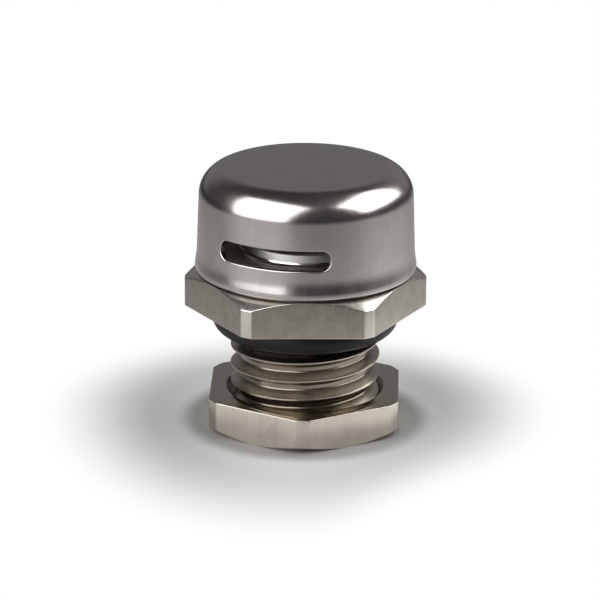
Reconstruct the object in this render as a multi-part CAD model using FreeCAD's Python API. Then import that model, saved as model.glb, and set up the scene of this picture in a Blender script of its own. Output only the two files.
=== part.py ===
"""Vent valve for an enclosure: an M12 x 1.5 stud with a hexagon flange, under a drawn and slotted metal cap.

Air reaches the cap's two slots, passes a membrane held in a collar under the cap, and goes down the bore of the
stud into the enclosure. A rubber ring seals the flange against the panel, and a lock nut clamps from inside.

Millimetres, +Z up. The origin is the centre of the lock nut's underside, and the front of the valve is -Y.
"""

import FreeCAD, Part
import math
import os

# Thread and stud
thread_diameter = 11.85
thread_pitch = 1.5
thread_depth = 0.81
thread_lead_in = 1.775
thread_overcut = 0.12
thread_end_chamfer = 0.6
stud_length = 9.05
stud_end_height = 0.55
neck_diameter = 10.2
thread_runout = 0.55
thread_to_seal = 0.3

# Hexagon flange
flange_across_flats = 17.0
flange_corner_cut = 0.24
flange_thickness = 2.95
flange_bevel_angle = 31.8
flange_turn = 1.3

# Sealing ring, stretched over the stud into the neck and let into the flange
seal_section = 2.2
seal_neck_clearance = 0.1
seal_recess_depth = 0.25
seal_seat_clearance = 0.05
seal_sides = 12

# Boss that the cap is pressed over, and the collar that holds the membrane
boss_inset = 0.35
boss_height = 1.7
collar_diameter = 9.9
collar_wall = 0.6
seat_width = 0.85
collar_bevel = 0.15
collar_foot = 0.35

# Membrane stack in the collar, from the seat up
stack_clearance = 0.05
support_thickness = 0.3
support_hole = 1.5
support_pitch = 2.15
membrane_thickness = 0.2
gasket_thickness = 0.4
gasket_width = 0.8
clamp_ring_thickness = 0.4
clamp_ring_width = 0.94
clamp_ring_clearance = 0.01
collar_rise = 0.05
seat_below_boss = 0.4

# Drawn cap
cap_sheet = 0.45
cap_height = 8.15
cap_rim_gap = 0.25
cap_fit_clearance = 0.02
cap_lip = 0.3
cap_skirt = 1.25
cap_flare = 0.15
cap_draft = 0.16
cap_shoulder_radius = 2.2
cap_inner_facets = 2
slot_height = 1.6
slot_above_rim = 2.31
slot_sweep = 64.1
slot_centre = -108.8
slot_count = 2

# Lock nut
nut_wall = 1.575
nut_corner_cut = 0.335
nut_thickness = 2.8
nut_bevel_angle = 30.0
nut_turn = -1.5
nut_clearance = 0.05
nut_countersink = 0.3

# Heights that follow from the sizes above
flange_bottom = stud_end_height + stud_length
flange_top = flange_bottom + flange_thickness
boss_top = flange_top + boss_height
seat_height = boss_top - seat_below_boss
membrane_bottom = seat_height + support_thickness
gasket_bottom = membrane_bottom + membrane_thickness
clamp_ring_bottom = gasket_bottom + gasket_thickness
collar_top = clamp_ring_bottom + clamp_ring_thickness + collar_rise
seal_top = flange_bottom + seal_recess_depth - seal_seat_clearance
seal_middle = seal_top - seal_section / 2
thread_top = seal_top - seal_section - thread_to_seal
cap_rim = flange_top + cap_rim_gap
cap_top = cap_rim + cap_height

# Radii that follow from the sizes above
half_angle = math.radians(30)
thread_radius = thread_diameter / 2
thread_root_radius = thread_radius - thread_depth
neck_radius = neck_diameter / 2
flange_corner_radius = flange_across_flats / 2 / math.cos(half_angle) - flange_corner_cut
nut_across_flats = thread_diameter + 2 * nut_wall
nut_corner_radius = nut_across_flats / 2 / math.cos(half_angle) - nut_corner_cut
boss_radius = flange_across_flats / 2 - boss_inset
collar_radius = collar_diameter / 2
pocket_radius = collar_radius - collar_wall
bore_radius = pocket_radius - seat_width
stack_radius = pocket_radius - stack_clearance
seal_radius = neck_radius + seal_neck_clearance + seal_section / 2
seal_recess_radius = seal_radius + seal_section / 2 + 2 * seal_seat_clearance
cap_skirt_radius = boss_radius + cap_fit_clearance + cap_sheet
cap_rim_radius = cap_skirt_radius + cap_flare
cap_wall_radius = cap_skirt_radius - cap_draft
nut_bore_radius = thread_radius + nut_clearance

axis = FreeCAD.Vector(0, 0, 1)
centre = FreeCAD.Vector(0, 0, 0)


def point(radius, height):
    return FreeCAD.Vector(radius, 0, height)


def polyline(*points):
    """Straight edges through (radius, height) points."""
    corners = [point(*p) for p in points]
    return [Part.LineSegment(a, b).toShape() for a, b in zip(corners, corners[1:])]


def arc(*points):
    """An arc through three (radius, height) points."""
    return Part.Arc(*[point(*p) for p in points]).toShape()


def points_on_arc(middle, radius, start_angle, sweep, count):
    """Points along an arc about a (radius, height) middle, count steps from its start to its end."""
    places = []
    for step in range(count + 1):
        turn = math.radians(start_angle + sweep * step / count)
        places.append((middle[0] + radius * math.cos(turn), middle[1] + radius * math.sin(turn)))
    return places


def turned(edges):
    """A closed outline of edges, turned about the axis."""
    return Part.Face(Part.Wire(edges)).revolve(centre, axis, 360)


def turned_outline(*points):
    return turned(polyline(*points, points[0]))


def ring(inner, outer, bottom, top):
    return turned_outline((inner, bottom), (outer, bottom), (outer, top), (inner, top))


def rod(radius, bottom, top):
    return Part.makeCylinder(radius, top - bottom, point(0, bottom))


def hexagon(across_flats, bottom, top, turn):
    """A hexagonal prism with a flat towards the front, turned about the axis by turn degrees."""
    corner = across_flats / 2 / math.cos(half_angle)
    corners = []
    for side in range(7):
        angle = math.radians(60 * side + turn)
        corners.append(FreeCAD.Vector(corner * math.cos(angle), corner * math.sin(angle), bottom))
    return Part.Face(Part.makePolygon(corners)).extrude(axis * (top - bottom))


def bevel_height(across_flats, corner_radius, angle):
    """How far a bevel that starts at the flats comes down the corners."""
    return (corner_radius - across_flats / 2) * math.tan(math.radians(angle))


def flange():
    bevel = bevel_height(flange_across_flats, flange_corner_radius, flange_bevel_angle)
    blank = turned_outline(
        (0, flange_bottom),
        (flange_corner_radius, flange_bottom),
        (flange_corner_radius, flange_top - bevel),
        (flange_across_flats / 2, flange_top),
        (0, flange_top),
    )
    body = hexagon(flange_across_flats, flange_bottom, flange_top, flange_turn).common(blank)
    return body.cut(ring(0, seal_recess_radius, flange_bottom, flange_bottom + seal_recess_depth))


def stud():
    return turned_outline(
        (0, stud_end_height),
        (thread_radius - thread_end_chamfer, stud_end_height),
        (thread_radius, stud_end_height + thread_end_chamfer),
        (thread_radius, thread_top),
        (neck_radius, thread_top + thread_runout),
        (neck_radius, flange_bottom + seal_recess_depth),
        (0, flange_bottom + seal_recess_depth),
    )


def thread_groove():
    """The groove that winds up the stud between the thread's crests and runs out into the neck."""
    flank_slope = math.tan(half_angle)
    root_half = thread_pitch / 2 - thread_pitch / 16 - thread_depth * flank_slope
    mouth_half = root_half + (thread_depth + thread_overcut) * flank_slope
    mouth_radius = thread_radius + thread_overcut
    start = stud_end_height - thread_lead_in
    end = thread_top + thread_runout + root_half
    section = polyline(
        (thread_root_radius, start - root_half),
        (mouth_radius, start - mouth_half),
        (mouth_radius, start + mouth_half),
        (thread_root_radius, start + root_half),
        (thread_root_radius, start - root_half),
    )
    helix = Part.makeLongHelix(thread_pitch, end - start, thread_root_radius, 0)
    helix.translate(point(0, start))
    return Part.Wire(helix).makePipeShell([Part.Wire(section)], True, True)


def boss_and_collar():
    return turned_outline(
        (0, flange_top),
        (boss_radius, flange_top),
        (boss_radius, boss_top),
        (collar_radius + collar_foot, boss_top),
        (collar_radius, boss_top + collar_foot),
        (collar_radius, collar_top - collar_bevel),
        (collar_radius - collar_bevel, collar_top),
        (0, collar_top),
    )


def valve_body():
    """Stud, flange, boss and collar: one turned piece with the vent bore and the membrane's pocket."""
    solid = flange().fuse([stud().cut(thread_groove()), boss_and_collar()])
    solid = solid.cut(rod(bore_radius, stud_end_height, seat_height))
    return solid.cut(rod(pocket_radius, seat_height, collar_top)).removeSplitter()


def cap_outline():
    """The sheet's section, from the axis out along the top, down to the rim and back inside."""
    shoulder = (cap_wall_radius - cap_shoulder_radius, cap_top - cap_shoulder_radius)
    outside = [
        (cap_wall_radius, shoulder[1]),
        (cap_skirt_radius, cap_rim + cap_skirt),
        (cap_rim_radius, cap_rim + cap_lip),
        (cap_rim_radius, cap_rim),
    ]
    inside = [(radius - cap_sheet, height) for radius, height in reversed(outside[1:])]
    inside += points_on_arc(shoulder, cap_shoulder_radius - cap_sheet, 0, 90, cap_inner_facets)
    outline = polyline((0, cap_top), (shoulder[0], cap_top))
    outline.append(arc(*points_on_arc(shoulder, cap_shoulder_radius, 90, -90, 2)))
    outline += polyline(*outside, *inside, (0, cap_top - cap_sheet), (0, cap_top))
    return outline


def slot(middle_angle):
    """A slot along the cap's wall, round at both ends."""
    bottom = cap_rim + slot_above_rim
    end_radius = slot_height / 2
    end_angle = math.degrees(end_radius / cap_wall_radius)
    sweep = slot_sweep - 2 * end_angle
    inner = cap_wall_radius - 2 * cap_sheet
    outer = cap_rim_radius + cap_sheet
    section = polyline(
        (inner, bottom), (outer, bottom), (outer, bottom + slot_height), (inner, bottom + slot_height), (inner, bottom)
    )
    band = Part.Face(Part.Wire(section)).revolve(centre, axis, sweep)
    ends = []
    for angle in (0, sweep):
        end = Part.makeCylinder(end_radius, outer - inner, point(inner, bottom + end_radius), FreeCAD.Vector(1, 0, 0))
        ends.append(end.rotate(centre, axis, angle))
    cutter = band.fuse(ends)
    return cutter.rotate(centre, axis, middle_angle - sweep / 2)


def vent_cap():
    """The drawn cap, with slots spaced evenly round its wall."""
    slots = [slot(slot_centre + 360 / slot_count * copy) for copy in range(slot_count)]
    return turned(cap_outline()).cut(slots)


def flange_seal():
    """The ring is soft, so its round section stays in flat facets."""
    return turned_outline(*points_on_arc((seal_radius, seal_middle), seal_section / 2, 0, 360, seal_sides)[:-1])


def lock_nut():
    """A thin hexagon nut, bevelled on its underside and countersunk at both ends of its bore."""
    bevel = bevel_height(nut_across_flats, nut_corner_radius, nut_bevel_angle)
    blank = turned_outline(
        (0, 0),
        (nut_across_flats / 2, 0),
        (nut_corner_radius, bevel),
        (nut_corner_radius, nut_thickness),
        (0, nut_thickness),
    )
    mouth = nut_bore_radius + nut_countersink
    hole = turned_outline(
        (0, 0),
        (mouth, 0),
        (nut_bore_radius, nut_countersink),
        (nut_bore_radius, nut_thickness - nut_countersink),
        (mouth, nut_thickness),
        (0, nut_thickness),
    )
    return hexagon(nut_across_flats, 0, nut_thickness, 30 + nut_turn).common(blank).cut(hole)


def membrane_support():
    """A thin disc with rings of holes, under the membrane."""
    disc = rod(stack_radius, seat_height, membrane_bottom)
    rings = int((bore_radius - support_hole / 2) / support_pitch)
    holes = []
    for column in range(-rings, rings + 1):
        for row in range(-rings, rings + 1):
            if abs(column + row) > rings:
                continue
            across = support_pitch * (column + row / 2)
            along = support_pitch * row * math.sin(math.radians(60))
            hole = rod(support_hole / 2, seat_height, membrane_bottom)
            holes.append(hole.translate(FreeCAD.Vector(across, along, 0)))
    return disc.cut(holes)


def vent_membrane():
    return rod(stack_radius, membrane_bottom, gasket_bottom)


def membrane_gasket():
    return ring(stack_radius - gasket_width, stack_radius, gasket_bottom, clamp_ring_bottom)


def clamp_ring():
    """The ring pressed into the collar, which holds the stack down."""
    outer = pocket_radius - clamp_ring_clearance
    return ring(outer - clamp_ring_width, outer, clamp_ring_bottom, clamp_ring_bottom + clamp_ring_thickness)


pieces = [
    lock_nut,
    valve_body,
    flange_seal,
    membrane_support,
    vent_membrane,
    membrane_gasket,
    clamp_ring,
    vent_cap,
]

os.makedirs("parts", exist_ok=True)
for piece in pieces:
    shape = piece()
    solid = shape.Solids[0]
    print(piece.__name__, len(shape.Solids), shape.isValid(), round(solid.Volume, 3))
    solid.exportStep(f"parts/{piece.__name__}.step")
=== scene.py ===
# %% [markdown]
# # A vent valve with a threaded stud
# This lesson dresses the solids of a small metal vent valve. A drawn cap with two slots sits over a
# hexagon flange, a stud with an M12 thread goes down from it, and a thin lock nut runs on that thread.
# The solids say where everything is, and Blender adds the threads, the rounded edges and the metals.

# %% Load the solids
import math

import bmesh
import bpy
import numpy as np
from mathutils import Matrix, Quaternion, Vector


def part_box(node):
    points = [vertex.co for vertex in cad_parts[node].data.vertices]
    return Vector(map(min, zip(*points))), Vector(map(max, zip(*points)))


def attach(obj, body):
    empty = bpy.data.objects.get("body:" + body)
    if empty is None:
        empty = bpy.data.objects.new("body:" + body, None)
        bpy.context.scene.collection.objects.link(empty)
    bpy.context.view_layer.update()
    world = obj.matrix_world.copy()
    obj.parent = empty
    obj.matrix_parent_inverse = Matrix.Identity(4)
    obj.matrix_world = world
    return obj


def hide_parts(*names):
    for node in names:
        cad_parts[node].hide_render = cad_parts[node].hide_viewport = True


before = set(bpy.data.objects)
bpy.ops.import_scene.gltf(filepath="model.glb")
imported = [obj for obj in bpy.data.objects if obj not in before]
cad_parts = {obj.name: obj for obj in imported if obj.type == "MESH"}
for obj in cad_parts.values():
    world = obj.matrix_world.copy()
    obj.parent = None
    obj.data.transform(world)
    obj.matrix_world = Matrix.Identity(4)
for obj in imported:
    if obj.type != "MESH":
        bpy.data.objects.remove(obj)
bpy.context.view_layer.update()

MM = 0.001
print("nodes:", sorted(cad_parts))

# %% [markdown]
# ## Sizes
# A turned part is drawn from a few radii and heights. Where a solid's box gives one, it is read from
# there, so that the dressed pieces stay where the solids are. The rest are the sizes that the solids were
# made with, and the roundings that only the dressed pieces have. All are in millimetres.

# %% Read the sizes from the solids
def heights(node):
    low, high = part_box(node)
    return low.z / MM, high.z / MM


def radius_of(node):
    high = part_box(node)[1]
    return min(high.x, high.y) / MM


nut_bottom, nut_top = heights("lock_nut")
seal_bottom, seal_top = heights("flange_seal")
stud_end, collar_top = heights("valve_body")
cap_rim, cap_top = heights("vent_cap")
cap_rim_radius = radius_of("vent_cap")
seal_outer = radius_of("flange_seal")
print("heights of nut, seal and cap:", nut_top, seal_bottom, cap_rim, cap_top)

# %% Sizes that the boxes don't give
pitch = 1.5
thread_radius = 5.925
thread_root = 5.115
thread_phase = 0.65
thread_fit = 0.07
thread_half_angle = 30.0
crest_half = 0.055
crest_smoothing = 0.04
root_smoothing = 0.22
stud_chamfer = 0.6
neck_radius = 5.1
neck_start = 7.85
runout_slope = 1.5
bore_radius = 3.5
flange_bottom = 9.6
flange_top = 12.55
flange_flat = 8.5
flange_corner = 9.575
flange_bevel = 31.8
flange_turn = 31.3
bevel_inset = 0.02
recess_radius = 7.5
recess_depth = 0.25
boss_radius = 8.15
boss_top = 14.25
collar_radius = 4.95
collar_foot = 0.4
collar_taper = 0.12
pocket_radius = 4.35
seat_height = 13.85
nut_flat = 7.5
nut_corner = 8.325
nut_bevel = 30.0
nut_turn = -1.5
nut_mouth = 6.28
nut_sleeve_radius = 6.45
cap_sheet = 0.45
cap_skirt_radius = 8.62
cap_wall_radius = 8.46
cap_shoulder = 2.2
cap_skirt_top = 14.05
cap_lip_top = 13.15
cap_skirt_bend = 0.5
cap_lip_bend = 0.25
rim_outer_edge = 0.16
rim_inner_edge = 0.08
slot_bottom = 15.11
slot_height = 1.6
slot_sweep = 64.1
slot_centre = -108.8
slot_edge = 0.09
keen_edge = 0.03
fine_edge = 0.05
broken_edge = 0.07
soft_edge = 0.08

# %% [markdown]
# ## Maths on sockets
# A material or a Geometry Nodes tree is a graph of small sums. Written out node by node such a graph is
# hard to read, so this class lets Python's own operators add the Math nodes. `Tree` adds any other node
# by its type.

# %% A socket that can be added and multiplied
class Value:
    def __init__(self, tree, socket):
        self.tree = tree
        self.socket = socket

    def maths(self, operation, *others, **settings):
        return self.tree.add("ShaderNodeMath", {"operation": operation, **settings}, [self, *others])

    def __add__(self, other):
        return self.maths("ADD", other)

    def __sub__(self, other):
        return self.maths("SUBTRACT", other)

    def __mul__(self, other):
        return self.maths("MULTIPLY", other)

    def __truediv__(self, other):
        return self.maths("DIVIDE", other)

    def __radd__(self, other):
        return self.tree.number(other) + self

    def __rsub__(self, other):
        return self.tree.number(other) - self

    def __rmul__(self, other):
        return self.tree.number(other) * self

    def __getitem__(self, name):
        return Value(self.tree, self.socket.node.outputs[name])

    def least(self, other):
        return self.maths("MINIMUM", other)

    def most(self, other):
        return self.maths("MAXIMUM", other)

    def under(self, other):
        return self.maths("LESS_THAN", other)

    def over(self, other):
        return self.maths("GREATER_THAN", other)

    def sine(self):
        return self.maths("SINE")

    def cosine(self):
        return self.maths("COSINE")

    def size(self):
        return self.maths("ABSOLUTE")

    def whole(self):
        return self.maths("ROUND")

    def clamped(self):
        return self.maths("ADD", 0.0, use_clamp=True)


class Tree:
    def __init__(self, nodes):
        self.nodes = nodes.nodes
        self.links = nodes.links

    def add(self, kind, settings=None, values=()):
        node = self.nodes.new(kind)
        for name, setting in (settings or {}).items():
            setattr(node, name, setting)
        named = values.items() if isinstance(values, dict) else enumerate(values)
        for place, value in named:
            if isinstance(value, Value):
                self.links.new(value.socket, node.inputs[place])
            else:
                node.inputs[place].default_value = value
        shown = [socket for socket in node.outputs if socket.enabled]
        return Value(self, shown[0]) if shown else node

    def number(self, value):
        node = self.nodes.new("ShaderNodeValue")
        node.outputs[0].default_value = value
        return Value(self, node.outputs[0])


print("operators ready")

# %% [markdown]
# ## Turning an outline
# Nearly every piece here came off a lathe, so its mesh is an outline swept round the axis. A hexagon is
# the same thing with an outline that changes with the angle: at each angle the wall is at the flat's
# distance, or at the corner that the lathe left. Every corner is rounded a little, because a real edge
# catches a line of light.

# %% Round the corners of an outline
shared_edge = 0.45
whole_edge = 0.95


def rounded(corners, steps=4):
    """Points of a closed outline. Each corner is (radius, height, rounding), and rounding 0 keeps it sharp.

    A rounding reaches less than half way along an edge that it shares with another one.
    """
    points = []
    for index, (radius, height, rounding) in enumerate(corners):
        here = np.array([radius, height])
        if rounding == 0:
            points.append(here)
            continue
        reach = rounding
        ways = []
        for x, y, other in (corners[index - 1], corners[(index + 1) % len(corners)]):
            way = np.array([x, y]) - here
            ways.append(way / np.linalg.norm(way))
            reach = min(reach, (shared_edge if other else whole_edge) * np.linalg.norm(way))
        start = here + ways[0] * reach
        end = here + ways[1] * reach
        for step in range(steps + 1):
            share = step / steps
            points.append((1 - share) ** 2 * start + 2 * share * (1 - share) * here + share**2 * end)
    return points


# %% Build a mesh from vertices and faces
merge_distance = 1e-7
speck_length = 1e-8


def mesh_piece(name, vertices, faces, sharp_angle=35):
    """A closed piece, in millimetres until here, with smooth faces and sharp edges above an angle."""
    mesh = bpy.data.meshes.new(name)
    mesh.from_pydata([tuple(c * MM for c in vertex) for vertex in vertices], [], faces)
    tidy_mesh(mesh, sharp_angle)
    piece = bpy.data.objects.new(name, mesh)
    bpy.context.scene.collection.objects.link(piece)
    return piece


def tidy_mesh(mesh, sharp_angle):
    """Merges doubles, closes slivers and marks the sharp edges."""
    work = bmesh.new()
    work.from_mesh(mesh)
    bmesh.ops.remove_doubles(work, verts=work.verts, dist=merge_distance)
    bmesh.ops.dissolve_degenerate(work, edges=work.edges, dist=speck_length)
    bmesh.ops.holes_fill(work, edges=[edge for edge in work.edges if edge.is_boundary], sides=3)
    bmesh.ops.recalc_face_normals(work, faces=work.faces)
    open_edges = sum(1 for edge in work.edges if not edge.is_manifold)
    work.to_mesh(mesh)
    work.free()
    mesh.shade_smooth()
    mesh.set_sharp_from_angle(angle=math.radians(sharp_angle))
    print(mesh.name, len(mesh.polygons), "faces,", open_edges, "open edges")


def swept(angles, outline_at):
    """Vertices and faces of an outline swept round the axis; outline_at gives the outline at an angle."""
    vertices = []
    faces = []
    for angle in angles:
        for radius, height in outline_at(angle):
            vertices.append((radius * math.cos(angle), radius * math.sin(angle), height))
    count = len(vertices) // len(angles)
    for column in range(len(angles)):
        after = (column + 1) % len(angles)
        for row in range(count):
            up = (row + 1) % count
            here = column * count
            there = after * count
            faces.append((here + row, there + row, there + up, here + up))
    return vertices, faces


# %% The wall of a turned hexagon
flat_columns = 14
corner_columns = 5
sixth = math.radians(60)


def hexagon_angles(flat, corner, turn):
    """Angles round a hexagon, closer at the edges between each flat and its turned corner."""
    edge = math.acos(flat / corner)
    soften = fine_edge / corner
    side = list(np.linspace(-edge + soften, edge - soften, flat_columns))
    side += list(np.linspace(edge + soften, sixth - edge - soften, corner_columns))
    guards = [-edge + 2 * soften, edge - 2 * soften]
    side = sorted(side + guards)
    return [math.radians(60 * face + turn) + angle for face in range(6) for angle in side]


def hexagon_wall(angle, flat, corner, turn):
    """Distance of the wall from the axis at an angle."""
    off = (angle - math.radians(turn)) % sixth
    off = min(off, sixth - off)
    return min(flat / math.cos(off), corner)


print("turning tools ready")

# %% [markdown]
# ## The metals
# The valve body and the nut are nickel plated: a warm, satin grey with a faint mottle from the plating
# bath. The cap is drawn from stainless sheet and polished, so it mirrors more and shows faint upright
# drawing marks on its wall. All of these are one metal shader whose colour, roughness and bump vary with
# noise on Object coordinates. Some areas of a piece were finished differently: the flats keep the dull
# skin of the bar, the turned corners are bright. Such an area is a mask made from the radius, the height
# and the way that the surface faces.
# Other areas, made the same way, hold painted shade or painted light: shade in the thread's roots, under the
# seal and in the gap under the cap, and light on the collar and its foot inside the cap.

# %% A shader for machined metal
def new_material(name):
    material = bpy.data.materials.new(name)
    material.use_nodes = True
    material.node_tree.nodes.clear()
    return material, Tree(material.node_tree)


def noise(tree, scale, detail, stretch=(1, 1, 1)):
    """Noise between 0 and 1 on the piece's own coordinates, with scale in lumps per millimetre."""
    place = tree.add("ShaderNodeTexCoord")["Object"]
    grown = [scale * share / MM for share in stretch]
    place = tree.add("ShaderNodeVectorMath", {"operation": "MULTIPLY"}, [place, grown])
    settings = {"Vector": place, "Scale": 1.0, "Detail": detail, "Roughness": 0.5}
    return tree.add("ShaderNodeTexNoise", None, settings)


def blended(tree, factor, first, second):
    """A colour between two colours, each a socket or plain numbers."""
    mix = tree.add("ShaderNodeMix", {"data_type": "RGBA"}).socket.node
    tree.links.new(factor.socket, mix.inputs["Factor"])
    for place, colour in ((6, first), (7, second)):
        if isinstance(colour, Value):
            tree.links.new(colour.socket, mix.inputs[place])
        else:
            mix.inputs[place].default_value = (*colour, 1)
    return Value(tree, mix.outputs[2])


def smooth_step(value):
    """From 0 to 1 with a soft start and end, as value goes from 0 to 1."""
    value = value.clamped()
    return value * value * (3 - 2 * value)


def place_on_piece(tree):
    """Radius and height in millimetres."""
    place = tree.add("ShaderNodeSeparateXYZ", None, [tree.add("ShaderNodeTexCoord")["Object"]])
    radius = (place["X"] * place["X"] + place["Y"] * place["Y"]).maths("SQRT") / MM
    return radius, place["Z"] / MM


def facing_up(tree):
    """How far the surface faces up, from -1 to 1."""
    facing = tree.add("ShaderNodeSeparateXYZ", None, [tree.add("ShaderNodeTexCoord")["Normal"]])
    return facing["Z"]


mottle_in_colour = 0.6
mottle_in_relief = 0.3
shade_contrast = 2.2
marks_height = 0.00003


def metal(name, dark, light, roughness, spread, marks, mottle_scale, marks_scale, bump, areas=None):
    """A machined metal. marks is the stretch of its tool marks, and spread how much its roughness varies.

    areas makes a list of (mask, dark, light, roughness) for the areas with a finish of their own, or with
    painted shade or painted light.
    """
    material, tree = new_material(name)
    mottle = noise(tree, mottle_scale, 4.0)
    lines = noise(tree, marks_scale, 3.0, marks)
    pattern = mottle * mottle_in_colour + lines * (1 - mottle_in_colour)
    shade = ((pattern - 0.5) * shade_contrast + 0.5).clamped()
    colour = blended(tree, shade, dark, light)
    finish = tree.number(roughness)
    for mask, area_dark, area_light, area_roughness in areas(tree) if areas else ():
        colour = blended(tree, mask, colour, blended(tree, shade, area_dark, area_light))
        finish = finish + (area_roughness - finish) * mask
    rough = finish + (lines - 0.5) * spread + (mottle - 0.5) * spread
    height = lines * (1 - mottle_in_relief) + mottle * mottle_in_relief
    normal = tree.add("ShaderNodeBump", None, {"Strength": bump, "Distance": marks_height, "Height": height})
    surface = tree.add(
        "ShaderNodeBsdfPrincipled",
        None,
        {"Base Color": colour, "Metallic": 1.0, "Roughness": rough.clamped(), "Normal": normal},
    )
    tree.add("ShaderNodeOutputMaterial", None, {"Surface": surface})
    return material


# %% Areas with a finish of their own, and areas with painted shade or painted light
# Painted shade darkens the flange top and boss wall round the boss, in the gap between flange and cap, and
# the shelter is the dark space under the cap.
upright_face = 0.2
level_face = 0.8
gap_shade_width = 0.45
gap_shade_depth = 0.1
shelter_height = 0.9
foot_width = 0.45
foot_height = 0.35
groove_start = 0.3
groove_fade = 0.5
neck_shadow_start = 7.0
neck_shadow_fade = 0.3


def body_areas(tree):
    radius, height = place_on_piece(tree)
    beside = height.over(flange_bottom + fine_edge) * height.under(flange_top)
    beside = beside * facing_up(tree).size().under(upright_face)
    flats = beside * radius.under(flange_corner - keen_edge)
    # Painted shade in the gap under the cap's rim.
    gap_shade = height.over(flange_top - gap_shade_depth) * radius.under(boss_radius + gap_shade_width)
    inside_cap = height.over(flange_top + shelter_height)
    # The collar and its foot get a much brighter nickel than the body: painted light, and on the foot also a
    # real highlight line from its low roughness.
    painted_light_foot = inside_cap * radius.under(collar_radius + foot_width)
    painted_light_collar = painted_light_foot * height.over(boss_top + foot_height)
    return [
        (flats, (0.33, 0.30, 0.26), (0.47, 0.43, 0.385), 0.27),
        (gap_shade, (0.32, 0.295, 0.26), (0.40, 0.37, 0.33), 0.35),
        (inside_cap, (0.60, 0.585, 0.56), (0.68, 0.66, 0.64), 0.38),
        (painted_light_foot, (0.80, 0.78, 0.75), (0.86, 0.84, 0.81), 0.18),
        (painted_light_collar, (0.90, 0.88, 0.85), (0.96, 0.94, 0.91), 0.56),
    ]


def thread_areas(tree):
    radius, height = place_on_piece(tree)
    # Painted shade: the roots of the thread are darker than its crests.
    groove_shade = smooth_step((thread_radius - groove_start - radius) / groove_fade)
    # Painted shade: the neck and the thread's top turn under the seal are nearly black.
    neck_shade = smooth_step((height - neck_shadow_start) / neck_shadow_fade)
    neck_shade = neck_shade * radius.under(thread_root + groove_start)
    return [
        (groove_shade, (0.25, 0.215, 0.175), (0.31, 0.27, 0.225), 0.22),
        (neck_shade, (0.09, 0.078, 0.06), (0.12, 0.105, 0.085), 0.35),
    ]


def nut_areas(tree):
    return [(facing_up(tree).over(level_face), (0.47, 0.42, 0.35), (0.55, 0.50, 0.43), 0.16)]


# %% The finishes
cap_steel = metal(
    "polished_stainless",
    dark=(0.49, 0.46, 0.45),
    light=(0.61, 0.575, 0.56),
    roughness=0.215,
    spread=0.08,
    marks=(1, 1, 0.03),
    mottle_scale=0.5,
    marks_scale=4.0,
    bump=0.1,
)
body_nickel = metal(
    "nickel_on_brass",
    dark=(0.61, 0.58, 0.53),
    light=(0.71, 0.68, 0.63),
    roughness=0.25,
    spread=0.08,
    marks=(1, 1, 0.3),
    mottle_scale=1.1,
    marks_scale=4.0,
    bump=0.1,
    areas=body_areas,
)
thread_nickel = metal(
    "nickel_on_thread",
    dark=(0.43, 0.385, 0.33),
    light=(0.49, 0.445, 0.385),
    roughness=0.27,
    spread=0.04,
    marks=(1, 1, 1),
    mottle_scale=0.4,
    marks_scale=2.0,
    bump=0.02,
    areas=thread_areas,
)
nut_nickel = metal(
    "nickel_on_nut",
    dark=(0.62, 0.565, 0.49),
    light=(0.76, 0.705, 0.625),
    roughness=0.28,
    spread=0.06,
    marks=(1, 1, 0.02),
    mottle_scale=0.5,
    marks_scale=1.6,
    bump=0.015,
    areas=nut_areas,
)
# Painted shade: the thread and countersinks in the nut's hole get a much darker nickel than the nut.
nut_hole_shade = metal(
    "shaded_nickel_in_nut",
    dark=(0.20, 0.175, 0.145),
    light=(0.26, 0.23, 0.195),
    roughness=0.3,
    spread=0.04,
    marks=(1, 1, 1),
    mottle_scale=0.4,
    marks_scale=2.0,
    bump=0.02,
    areas=nut_areas,
)
ring_steel = metal(
    "ring_steel",
    dark=(0.5, 0.5, 0.49),
    light=(0.6, 0.6, 0.59),
    roughness=0.3,
    spread=0.1,
    marks=(1, 1, 1),
    mottle_scale=0.6,
    marks_scale=3.0,
    bump=0.1,
)
support_steel = metal(
    "support_steel",
    dark=(0.45, 0.45, 0.44),
    light=(0.55, 0.55, 0.54),
    roughness=0.35,
    spread=0.1,
    marks=(1, 1, 1),
    mottle_scale=0.6,
    marks_scale=3.0,
    bump=0.1,
)


# %% Rubber and film
grain_bump = 0.2
grain_height = 0.00002
grain_spread = 0.2
soft_shine = 0.3


def soft_material(name, dark, light, roughness, scale):
    """Rubber or film, which shines less than plastic."""
    material, tree = new_material(name)
    grain = noise(tree, scale, 5.0)
    colour = blended(tree, grain, dark, light)
    relief = {"Strength": grain_bump, "Distance": grain_height, "Height": grain}
    normal = tree.add("ShaderNodeBump", None, relief)
    surface = tree.add(
        "ShaderNodeBsdfPrincipled",
        None,
        {
            "Base Color": colour,
            "Roughness": roughness + (grain - 0.5) * grain_spread,
            "Normal": normal,
            "Specular IOR Level": soft_shine,
        },
    )
    tree.add("ShaderNodeOutputMaterial", None, {"Surface": surface})
    return material


seal_rubber = soft_material(
    "seal_rubber", dark=(0.008, 0.008, 0.008), light=(0.014, 0.014, 0.014), roughness=0.5, scale=3.0
)
gasket_rubber = soft_material(
    "gasket_rubber", dark=(0.02, 0.02, 0.02), light=(0.04, 0.04, 0.04), roughness=0.55, scale=3.0
)
membrane_film = soft_material(
    "membrane_film", dark=(0.80, 0.80, 0.79), light=(0.90, 0.90, 0.89), roughness=0.7, scale=8.0
)
print("materials:", len(bpy.data.materials))

# %% [markdown]
# ## The helical thread
# The stud's M12 thread and the one in the nut follow the same rule: at each angle the V profile sits a
# little higher. That is a job for Geometry Nodes. A flat grid is rolled round the axis, each row climbs
# by one pitch per turn, and rows beyond the ends are pushed on to them, where the doubles are merged. The
# same tree makes both threads, so the nut fits the stud at any turn.

# %% The thread's node tree
columns = 240
rows_per_turn = 32


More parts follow.
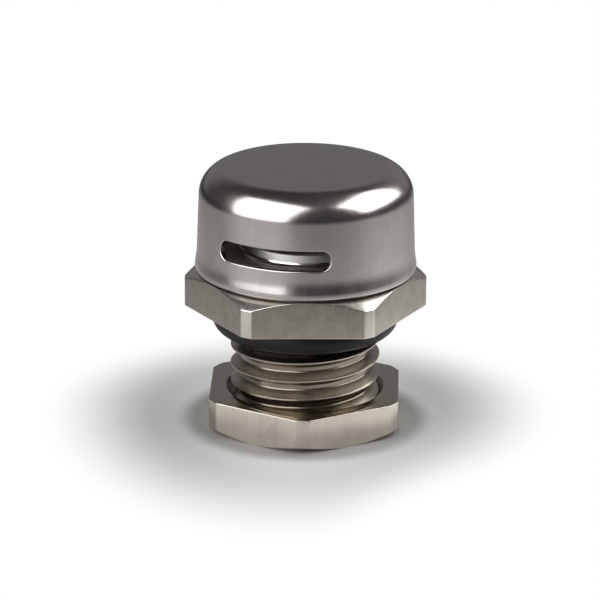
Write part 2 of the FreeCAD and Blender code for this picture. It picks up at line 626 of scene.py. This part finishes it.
def thread_tree():
    group = bpy.data.node_groups.new("helical_thread", "GeometryNodeTree")
    face = group.interface
    face.new_socket("Geometry", in_out="OUTPUT", socket_type="NodeSocketGeometry")
    for name in ("Crest", "Root", "Back", "Bottom", "Top", "Bottom limit", "Top limit", "Top slope", "Side"):
        face.new_socket(name, in_out="INPUT", socket_type="NodeSocketFloat")
    face.new_socket("Rows", in_out="INPUT", socket_type="NodeSocketInt")
    face.new_socket("Material", in_out="INPUT", socket_type="NodeSocketMaterial")
    tree = Tree(group)
    given = tree.add("NodeGroupInput")
    crest, root, back = given["Crest"], given["Root"], given["Back"]
    bottom, top = given["Bottom"], given["Top"]
    side = given["Side"]
    grid_sizes = {"Size X": 1.0, "Size Y": 1.0, "Vertices X": columns + 1, "Vertices Y": given["Rows"]}
    grid = tree.add("GeometryNodeMeshGrid", None, grid_sizes)
    place = tree.add("GeometryNodeInputPosition")
    parts = tree.add("ShaderNodeSeparateXYZ", None, [place])
    turn = ((parts["X"] + 0.5) * columns).whole() / columns
    last_row = given["Rows"] - 1
    row = ((parts["Y"] + 0.5) * last_row).whole()
    climb = (row - (rows_per_turn + 1)) / rows_per_turn + turn
    height = (bottom + climb * pitch).most(bottom).least(top)
    from_crest = (height - thread_phase) / pitch - turn
    from_crest = (from_crest - from_crest.whole()).size() * pitch
    flank = crest - (from_crest - crest_half) / math.tan(math.radians(thread_half_angle))
    wall = flank.maths("SMOOTH_MIN", crest, crest_smoothing).maths("SMOOTH_MAX", root, root_smoothing)
    rise = (height - bottom).most(0.0)
    drop = (top - height).most(0.0)
    lower = given["Bottom limit"] + rise * side
    upper = given["Top limit"] + drop * side * given["Top slope"]
    outside = wall.least(lower).least(upper)
    inside = wall.most(lower).most(upper)
    is_outside = side.over(0.0)
    radius = outside * is_outside + inside * (1 - is_outside)
    # The first and last rows lie at the top of the back and the second row at its bottom, which closes it.
    closing = row.under(0.5).most(row.over(last_row - 0.5))
    start = row.under(1.5)
    at_back = start.most(closing)
    radius = radius * (1 - at_back) + back * at_back
    height = height * (1 - at_back) + top * closing + bottom * (start * (1 - closing))
    angle = turn * (2 * math.pi) - math.pi / 2
    spot = tree.add(
        "ShaderNodeCombineXYZ", None, [radius * angle.cosine() * MM, radius * angle.sine() * MM, height * MM]
    )
    rolled = tree.add("GeometryNodeSetPosition", None, {"Geometry": grid, "Position": spot})
    merged = tree.add("GeometryNodeMergeByDistance", None, {"Geometry": rolled, "Distance": merge_distance})
    real = tree.add("GeometryNodeRealizeInstances", None, {"Geometry": merged})
    coloured = tree.add("GeometryNodeSetMaterial", None, {"Geometry": real, "Material": given["Material"]})
    tree.add("NodeGroupOutput", None, {"Geometry": coloured})
    return group


thread_group = thread_tree()
thread_sharp_angle = 42
spare_rows = 4


def threaded_sleeve(name, material, **sizes):
    """A plain mesh from the thread's tree, with its sizes in millimetres."""
    holder = bpy.data.objects.new(name + "_source", bpy.data.meshes.new(name + "_source"))
    bpy.context.scene.collection.objects.link(holder)
    modifier = holder.modifiers.new("thread", "NODES")
    modifier.node_group = thread_group
    turns = (sizes["Top"] - sizes["Bottom"]) / pitch
    sizes["Rows"] = int(rows_per_turn * (turns + 1)) + spare_rows
    sizes["Material"] = material
    for item in thread_group.interface.items_tree:
        if item.item_type == "SOCKET" and item.in_out == "INPUT":
            modifier[item.identifier] = sizes[item.name]
    evaluated = holder.evaluated_get(bpy.context.evaluated_depsgraph_get())
    mesh = bpy.data.meshes.new_from_object(evaluated)
    bpy.data.objects.remove(holder)
    mesh.name = name
    tidy_mesh(mesh, thread_sharp_angle)
    piece = bpy.data.objects.new(name, mesh)
    bpy.context.scene.collection.objects.link(piece)
    return piece


# %% [markdown]
# ## The stud
# The stud's thread runs from a chamfered end up to the neck under the flange, round the vent bore. It is
# the first use of the tree above, with the bore as the back of the sleeve.

# %% Thread on the stud
stud_thread = threaded_sleeve(
    "stud_thread",
    thread_nickel,
    **{
        "Crest": thread_radius,
        "Root": thread_root,
        "Back": bore_radius,
        "Bottom": stud_end,
        "Top": neck_start,
        "Bottom limit": thread_radius - stud_chamfer,
        "Top limit": neck_radius,
        "Top slope": runout_slope,
        "Side": 1.0,
    },
)

# %% [markdown]
# ## The valve body
# Flange, boss and collar were turned with the stud from one hexagon bar. The sweep's outline goes from
# the neck out under the flange, up its wall, along the bevel that the lathe left, over the boss and the
# collar, and back down the bore. The line where the bevel meets each flat comes by itself, since the
# wall's distance changes with the angle.

# %% Flange, boss and collar
def body_outline(angle):
    wall = hexagon_wall(angle, flange_flat, flange_corner, flange_turn)
    bevel_start = flange_flat - bevel_inset
    bevel_end = flange_top - (wall - bevel_start) * math.tan(math.radians(flange_bevel))
    recess_top = flange_bottom + recess_depth
    return rounded(
        [
            (bore_radius, neck_start, 0),
            (neck_radius, neck_start, 0),
            (neck_radius, recess_top, fine_edge),
            (recess_radius, recess_top, fine_edge),
            (recess_radius, flange_bottom, fine_edge),
            (wall, flange_bottom, soft_edge),
            (wall, bevel_end, broken_edge),
            (bevel_start, flange_top, fine_edge),
            (boss_radius, flange_top, bevel_inset),
            (boss_radius, boss_top, soft_edge),
            (collar_radius, boss_top, collar_foot),
            (collar_radius - collar_taper, collar_top, broken_edge),
            (pocket_radius, collar_top, fine_edge),
            (pocket_radius, seat_height, keen_edge),
            (bore_radius, seat_height, fine_edge),
        ]
    )


body_angles = hexagon_angles(flange_flat, flange_corner, flange_turn)
valve_body = mesh_piece("valve_body_turned", *swept(body_angles, body_outline))
valve_body.data.materials.append(body_nickel)

# %% [markdown]
# ## The lock nut
# A thin nut is parted from hexagon bar, so its flats keep upright marks and one face is bevelled. Its
# hole is left open here and filled by the threaded sleeve, which is countersunk at both ends.

# %% Nut blank and its thread
nut_face_edge = 0.04
nut_wall_edge = 0.06


def nut_outline(angle):
    wall = hexagon_wall(angle, nut_flat, nut_corner, nut_turn)
    bevel_start = nut_flat - bevel_inset
    bevel_end = nut_bottom + (wall - bevel_start) * math.tan(math.radians(nut_bevel))
    return rounded(
        [
            (nut_sleeve_radius, nut_bottom, 0),
            (bevel_start, nut_bottom, nut_face_edge),
            (wall, bevel_end, nut_wall_edge),
            (wall, nut_top, nut_wall_edge),
            (nut_sleeve_radius, nut_top, 0),
        ]
    )


nut_angles = hexagon_angles(nut_flat, nut_corner, nut_turn)
nut_blank = mesh_piece("lock_nut_blank", *swept(nut_angles, nut_outline))
nut_blank.data.materials.append(nut_nickel)
nut_thread = threaded_sleeve(
    "lock_nut_thread",
    nut_hole_shade,
    **{
        "Crest": thread_radius + thread_fit,
        "Root": thread_root + thread_fit,
        "Back": nut_sleeve_radius,
        "Bottom": nut_bottom,
        "Top": nut_top,
        "Bottom limit": nut_mouth,
        "Top limit": nut_mouth,
        "Top slope": 1.0,
        "Side": -1.0,
    },
)

# %% [markdown]
# ## The sealing ring
# An O-ring is a circle swept round a circle. The real one is moulded in two halves, and keeps a hairline
# of flash round its outside where they met, so the section has a very small ridge there.

# %% Sealing ring
section_points = 40
ring_columns = 192
flash_height = 0.012
flash_width = 0.12


def seal_section():
    section = []
    middle_height = (seal_bottom + seal_top) / 2
    thick = (seal_top - seal_bottom) / 2
    middle_radius = seal_outer - thick
    for point in range(section_points):
        angle = 2 * math.pi * point / section_points
        reach = thick - flash_height + flash_height * math.exp(-((math.sin(angle) / flash_width) ** 2))
        section.append((middle_radius + reach * math.cos(angle), middle_height + reach * math.sin(angle)))
    return section


ring_outline = seal_section()
ring_angles = [2 * math.pi * column / ring_columns for column in range(ring_columns)]
seal_ring = mesh_piece("seal_ring", *swept(ring_angles, lambda angle: ring_outline))
seal_ring.data.materials.append(seal_rubber)

# %% [markdown]
# ## The drawn cap
# The cap is one sheet, so it has an outside and an inside that follow each other at the sheet's
# thickness. A boolean would cut the slots but leave ragged shading on a mirror, so the slots are built
# into the grid: a window is left open in the wall, and rings lead from its edge to the slot's rounded
# lip, through the sheet and out to the window on the inside.

# %% The sheet's outside and inside
# The window is the part of the grid that is left out round a slot, and the patch fills it again.
cap_columns = 480
top_rows = 8
shoulder_steps = 24
skirt_steps = 8
lip_steps = 5
above_window = 0.3
rim_join = 0.17
patch_rings = (0.35, 0.7)
window_columns = 45
window_margin = 0.55
window_low = slot_bottom - window_margin
window_high = slot_bottom + slot_height + window_margin
window_rows = 10
shoulder_height = cap_top - cap_shoulder
shoulder_radius = cap_wall_radius - cap_shoulder


def wall_radius(height):
    """Outside radius of the upright part of the wall, which narrows a little towards the top."""
    share = (height - cap_skirt_top) / (shoulder_height - cap_skirt_top)
    return cap_skirt_radius + (cap_wall_radius - cap_skirt_radius) * share


def cap_rows(depth):
    """Rows from the centre of the top down to the rim, that far inside the sheet's outside."""
    rows = [(radius, cap_top - depth) for radius in np.linspace(0, shoulder_radius, top_rows + 1)[:-1]]
    for step in range(shoulder_steps + 1):
        angle = math.pi / 2 * (1 - step / shoulder_steps)
        reach = cap_shoulder - depth
        rows.append((shoulder_radius + reach * math.cos(angle), shoulder_height + reach * math.sin(angle)))
    wall = [shoulder_height - above_window, *np.linspace(window_high, window_low, window_rows + 1)]
    rows += [(wall_radius(height) - depth, height) for height in wall]
    skirt = rounded(
        [
            (wall_radius(window_low) - depth, window_low, 0),
            (cap_skirt_radius - depth, cap_skirt_top, cap_skirt_bend),
            (cap_rim_radius - depth, cap_lip_top, cap_lip_bend),
            (cap_rim_radius - depth, cap_rim + rim_join, 0),
        ],
        skirt_steps,
    )
    return rows + [tuple(point) for point in skirt[1:]]


# %% The slot's lip
def slot_rings():
    """Rings from the window to the slot and through the sheet, as (distance from the slot's spine, depth)."""
    half = slot_height / 2
    front = [(half + slot_edge + keen_edge, 0.0)]
    for step in range(lip_steps + 1):
        angle = math.pi / 2 * step / lip_steps
        front.append((half + slot_edge * (1 - math.sin(angle)), slot_edge * (1 - math.cos(angle))))
    front.append((half, slot_edge + keen_edge))
    back = [(distance, cap_sheet - depth) for distance, depth in reversed(front)]
    return front + back


def slot_patch(centre, window):
    """Vertices and faces between the window, given as (angle, height) points, and one slot."""
    middle = slot_bottom + slot_height / 2
    radius = wall_radius(middle)
    half_length = math.radians(slot_sweep / 2) * radius - slot_height / 2
    flat = [(angle * radius, height - middle) for angle, height in window]

    def on_ring(distance):
        points = []
        for along, up in flat:
            spine = max(-half_length, min(half_length, along))
            length = math.hypot(along - spine, up)
            points.append((spine + (along - spine) / length * distance, up / length * distance))
        return points

    lip = slot_rings()
    near = on_ring(lip[0][0])
    outward = [(flat, 0.0)]
    for share in patch_rings:
        ring = [(a + (c - a) * share, b + (d - b) * share) for (a, b), (c, d) in zip(flat, near)]
        outward.append((ring, 0.0))
    inward = [(ring, cap_sheet) for ring, _ in reversed(outward)]
    rings = outward + [(on_ring(distance), depth) for distance, depth in lip] + inward
    vertices = []
    faces = []
    for ring, depth in rings:
        for along, up in ring:
            angle = centre + along / radius
            reach = wall_radius(middle + up) - depth
            vertices.append((reach * math.cos(angle), reach * math.sin(angle), middle + up))
    count = len(flat)
    for level in range(len(rings) - 1):
        for point in range(count):
            after = (point + 1) % count
            low = level * count
            faces.append((low + point, low + after, low + count + after, low + count + point))
    return vertices, faces


# %% Put the cap together
def cap_mesh():
    step = 2 * math.pi / cap_columns
    centres = [math.radians(slot_centre), math.radians(slot_centre + 180)]
    angles = [centres[0] + step * column for column in range(cap_columns)]
    outside = cap_rows(0.0)
    inside = cap_rows(cap_sheet)
    rim = rounded(
        [
            (*outside[-1], 0),
            (cap_rim_radius, cap_rim, rim_outer_edge),
            (cap_rim_radius - cap_sheet, cap_rim, rim_inner_edge),
            (*inside[-1], 0),
        ]
    )
    loop = outside + [tuple(point) for point in rim[1:-1]] + list(reversed(inside))
    vertices, faces = swept(angles, lambda angle: loop)
    count = len(loop)
    top_row = top_rows + (shoulder_steps + 1) + 1
    bottom_row = top_row + window_rows
    inside_rows = (count - 1 - bottom_row, count - 1 - top_row)
    kept = []
    for index, face in enumerate(faces):
        column, row = divmod(index, count)
        off = (column + window_columns) % (cap_columns // 2)
        in_rows = top_row <= row < bottom_row or inside_rows[0] <= row < inside_rows[1]
        if row < count - 1 and not (in_rows and off < 2 * window_columns):
            kept.append(face)
    heights_down = [outside[row][1] for row in range(top_row, bottom_row + 1)]
    across = [step * column for column in range(-window_columns, window_columns + 1)]
    window = [(angle, heights_down[-1]) for angle in across]
    window += [(across[-1], height) for height in reversed(heights_down[:-1])]
    window += [(angle, heights_down[0]) for angle in reversed(across[:-1])]
    window += [(across[0], height) for height in heights_down[1:-1]]
    for centre in centres:
        more, patch = slot_patch(centre, window)
        first = len(vertices)
        vertices += more
        kept += [tuple(first + corner for corner in face) for face in patch]
    return vertices, kept


cap_sharp_angle = 50
vent_cap = mesh_piece("vent_cap_drawn", *cap_mesh(), cap_sharp_angle)
vent_cap.data.materials.append(cap_steel)

# %% [markdown]
# ## The small pieces inside
# The perforated support, the membrane, its rubber ring and the clamp ring are simple discs and rings
# whose solids already have the right shape. They only need their own materials.

# %% Dress the solids that stay
def dress(node, material):
    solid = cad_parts[node]
    solid.data.materials.clear()
    solid.data.materials.append(material)


dress("membrane_support", support_steel)
dress("vent_membrane", membrane_film)
dress("membrane_gasket", gasket_rubber)
dress("clamp_ring", ring_steel)

# %% [markdown]
# ## Joining the pieces to the bodies
# Each piece rides on the body that its solid belongs to and takes over from that solid, where it has one.

# %% Ride and replace
for piece, body, node, finish in [
    (stud_thread, "valve", None, "body_plating"),
    (valve_body, "valve", "valve_body", "body_plating"),
    (vent_cap, "valve", "vent_cap", "cap_steel"),
    (seal_ring, "seal", "flange_seal", "seal_rubber"),
    (nut_blank, "nut", "lock_nut", "nut_plating"),
    (nut_thread, "nut", None, "nut_plating"),
]:
    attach(piece, body)
    if node:
        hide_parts(node)

# %% [markdown]
# ## Floor and surroundings
# Polished metal is only as interesting as what it mirrors. The table is painted a mid grey. To the camera
# the grey stays near the valve, with its soft shadows, and fades to white further out, as when a picture
# is cut out for a catalogue. The metals see a share of that white too, most of it towards the two lamps,
# where it draws the light bands down the cap's wall. Round the table the studio is dark.

# %% What the camera sees on the table, in metres
fade_centre = (-0.0004, 0.0025, 0.0)
fade_start = 0.0109
fade_end = 0.0212
fade_front = 0.72
fade_back = 1.15
shadow_width = 0.013
shadow_least = 0.53
shadow_most = 0.75
contact_start = 0.0086
contact_end = 0.0106


def white_seen(tree, place):
    """The share of white that the camera sees on the table, which leaves a grey shadow on both sides."""
    offset = tree.add("ShaderNodeVectorMath", {"operation": "SUBTRACT"}, [place, fade_centre])
    parts = tree.add("ShaderNodeSeparateXYZ", None, [offset])
    aside = parts["X"]
    front = fade_front + (1 - fade_front) * smooth_step(aside / shadow_width)
    behind = (parts["Y"] * fade_back).most(parts["Y"] * front)
    away = (aside * aside + behind * behind).maths("SQRT")
    share = smooth_step((away - fade_start) / (fade_end - fade_start))
    depth = shadow_least + (shadow_most - shadow_least) * smooth_step(aside.size() / shadow_width)
    grey = (1 - share) * depth
    clear = tree.add("ShaderNodeVectorMath", {"operation": "LENGTH"}, [place])["Value"]
    return (1 - grey) * smooth_step((clear - contact_start) / (contact_end - contact_start))


# %% What the metals see on the table
# A glow is the direction, from the valve, in which the table looks brighter to the metals only. These are
# painted reflections: the left and right glows draw the lamps' light bands on the cap, and the nut and thread
# glows, close to the valve, light the nut's flats and the thread on the right.
left_glow = (-0.866, -0.5, 0.0)
left_share = 0.20
right_glow = (0.996, -0.087, 0.0)
right_share = 0.55
further_share = 0.22
further_start = 0.030
further_fade = 0.070
nut_glow = (0.9, -0.43, 0.0)
nut_share = 0.60
thread_glow = (0.87, 0.5, 0.0)
thread_share = 0.50
close_share = 0.32
close_end = 0.022
close_fade = 0.012
beside_start = 0.010
beside_fade = 0.005


def towards(tree, outward, direction):
    """How far a direction on the table agrees with another one, from 0 to 1."""
    along = tree.add("ShaderNodeVectorMath", {"operation": "DOT_PRODUCT"}, [outward, direction])["Value"]
    along = along.most(0.0)
    return along * along


def white_mirrored(tree, place):
    """The share of white that the metals see on the table."""
    away = tree.add("ShaderNodeVectorMath", {"operation": "LENGTH"}, [place])["Value"]
    outward = tree.add("ShaderNodeVectorMath", {"operation": "NORMALIZE"}, [place])
    left = towards(tree, outward, left_glow)
    right = towards(tree, outward, right_glow)
    further = further_share + left_share * left * left + right_share * right * right
    further = further * (1 - smooth_step((away - further_start) / further_fade))
    # Painted reflections close to the valve, for the nut's flats and the thread on the right.
    close = close_share + nut_share * towards(tree, outward, nut_glow)
    close = close + thread_share * towards(tree, outward, thread_glow)
    near = 1 - smooth_step((away - close_end) / close_fade)
    beside = smooth_step((away - beside_start) / beside_fade)
    return (further * (1 - near) + close * near) * beside


# %% Table
table_grey = (0.30, 0.297, 0.293)
far_grey = (0.07, 0.069, 0.067)
dark_start = 0.07
dark_end = 0.14
table_roughness = 0.55
table_half = 1.5


def table_paint():
    material, tree = new_material("table_paint")
    place = tree.add("ShaderNodeTexCoord")["Object"]
    away = tree.add("ShaderNodeVectorMath", {"operation": "LENGTH"}, [place])["Value"]
    far_share = smooth_step((away - dark_start) / (dark_end - dark_start))
    colour = blended(tree, far_share, table_grey, far_grey)
    paint = tree.add("ShaderNodeBsdfPrincipled", None, {"Base Color": colour, "Roughness": table_roughness})
    glow = tree.add("ShaderNodeEmission", None, {"Color": (1, 1, 1, 1), "Strength": 1.0})
    ray = tree.add("ShaderNodeLightPath")
    seen = ray["Is Camera Ray"] * white_seen(tree, place)
    mirrored = ray["Is Glossy Ray"] * white_mirrored(tree, place)
    both = tree.add("ShaderNodeMixShader", None, [seen + mirrored, paint, glow])
    tree.add("ShaderNodeOutputMaterial", None, {"Surface": both})
    return material


def table():
    mesh = bpy.data.meshes.new("table")
    signs = ((-1, -1), (1, -1), (1, 1), (-1, 1))
    corners = [(across * table_half, along * table_half, 0) for across, along in signs]
    mesh.from_pydata(corners, [], [(0, 1, 2, 3)])
    mesh.materials.append(table_paint())
    top = bpy.data.objects.new("table", mesh)
    bpy.context.scene.collection.objects.link(top)


table()

# %% Studio round it
room_grey = (0.052, 0.050, 0.049, 1)
backdrop_side = 0.55
backdrop_top = 0.75
backdrop_fade = 0.35
backdrop_share = 0.155
world = bpy.data.worlds.new("studio")
world.use_nodes = True
world.node_tree.nodes.clear()
studio = Tree(world.node_tree)
direction = studio.add("ShaderNodeTexCoord")["Generated"]
parts = studio.add("ShaderNodeSeparateXYZ", None, [direction])
behind = smooth_step((parts["Y"] - backdrop_side) / backdrop_fade)
backdrop = behind * smooth_step((backdrop_top - parts["Z"]) / backdrop_fade)
room = studio.add("ShaderNodeBackground", None, {"Color": room_grey, "Strength": 1.0})
white = studio.add("ShaderNodeBackground", None, {"Color": (1, 1, 1, 1), "Strength": 1.0})
ray = studio.add("ShaderNodeLightPath")
white_share = ray["Is Camera Ray"] + ray["Is Glossy Ray"] * backdrop * backdrop_share
shown = studio.add("ShaderNodeMixShader", None, [white_share, room, white])
studio.add("ShaderNodeOutputWorld", None, {"Surface": shown})
bpy.context.scene.world = world
print("table and studio ready")

# %% [markdown]
# ## Lamps and camera
# Two soft boxes light the valve: a large one close on the left in front, whose patch covers the left of
# the cap's shoulder, and a long one high on the right. A lamp is placed by compass and height, the way a
# photographer would describe it. The camera is far away with a long lens, as for a catalogue picture, and
# looks down a little.

# %% Soft boxes
lamp_aim = 18


def soft_box(name, compass, height, distance, width, tall, brightness):
    """An area lamp. compass is degrees from straight behind the valve, positive to the right."""
    data = bpy.data.lights.new(name, "AREA")
    data.shape = "RECTANGLE"
    data.size = width * MM
    data.size_y = tall * MM
    data.energy = brightness * math.pi * width * tall * MM * MM
    lamp = bpy.data.objects.new(name, data)
    aside = math.radians(compass)
    up = math.radians(height)
    outward = Vector((math.sin(aside) * math.cos(up), math.cos(aside) * math.cos(up), math.sin(up)))
    lamp.location = outward * distance * MM + Vector((0, 0, lamp_aim * MM))
    lamp.rotation_euler = outward.to_track_quat("Z", "Y").to_euler()
    lamp.visible_camera = False
    bpy.context.scene.collection.objects.link(lamp)


soft_box("left_box", compass=-130, height=29, distance=250, width=330, tall=400, brightness=2.6)
soft_box("right_box", compass=86, height=39, distance=280, width=340, tall=250, brightness=3.0)

# %% Camera
camera_elevation = 19.0
camera_distance = 300
camera_aim = (-0.43, 0.0, 9.9)
camera_roll = 0.4
camera_lens = 226.8
camera_sensor = 36
camera_data = bpy.data.cameras.new("camera")
camera_data.lens = camera_lens
camera_data.sensor_width = camera_sensor
camera = bpy.data.objects.new("camera", camera_data)
lean = math.radians(camera_elevation)
camera.location = (
    camera_aim[0] * MM,
    (camera_aim[1] - camera_distance * math.cos(lean)) * MM,
    (camera_aim[2] + camera_distance * math.sin(lean)) * MM,
)
level = Quaternion((1, 0, 0), math.pi / 2 - lean)
camera.rotation_euler = (level @ Quaternion((0, 0, 1), math.radians(camera_roll))).to_euler()
bpy.context.scene.collection.objects.link(camera)
bpy.context.scene.camera = camera
bpy.context.scene.view_settings.view_transform = "Standard"
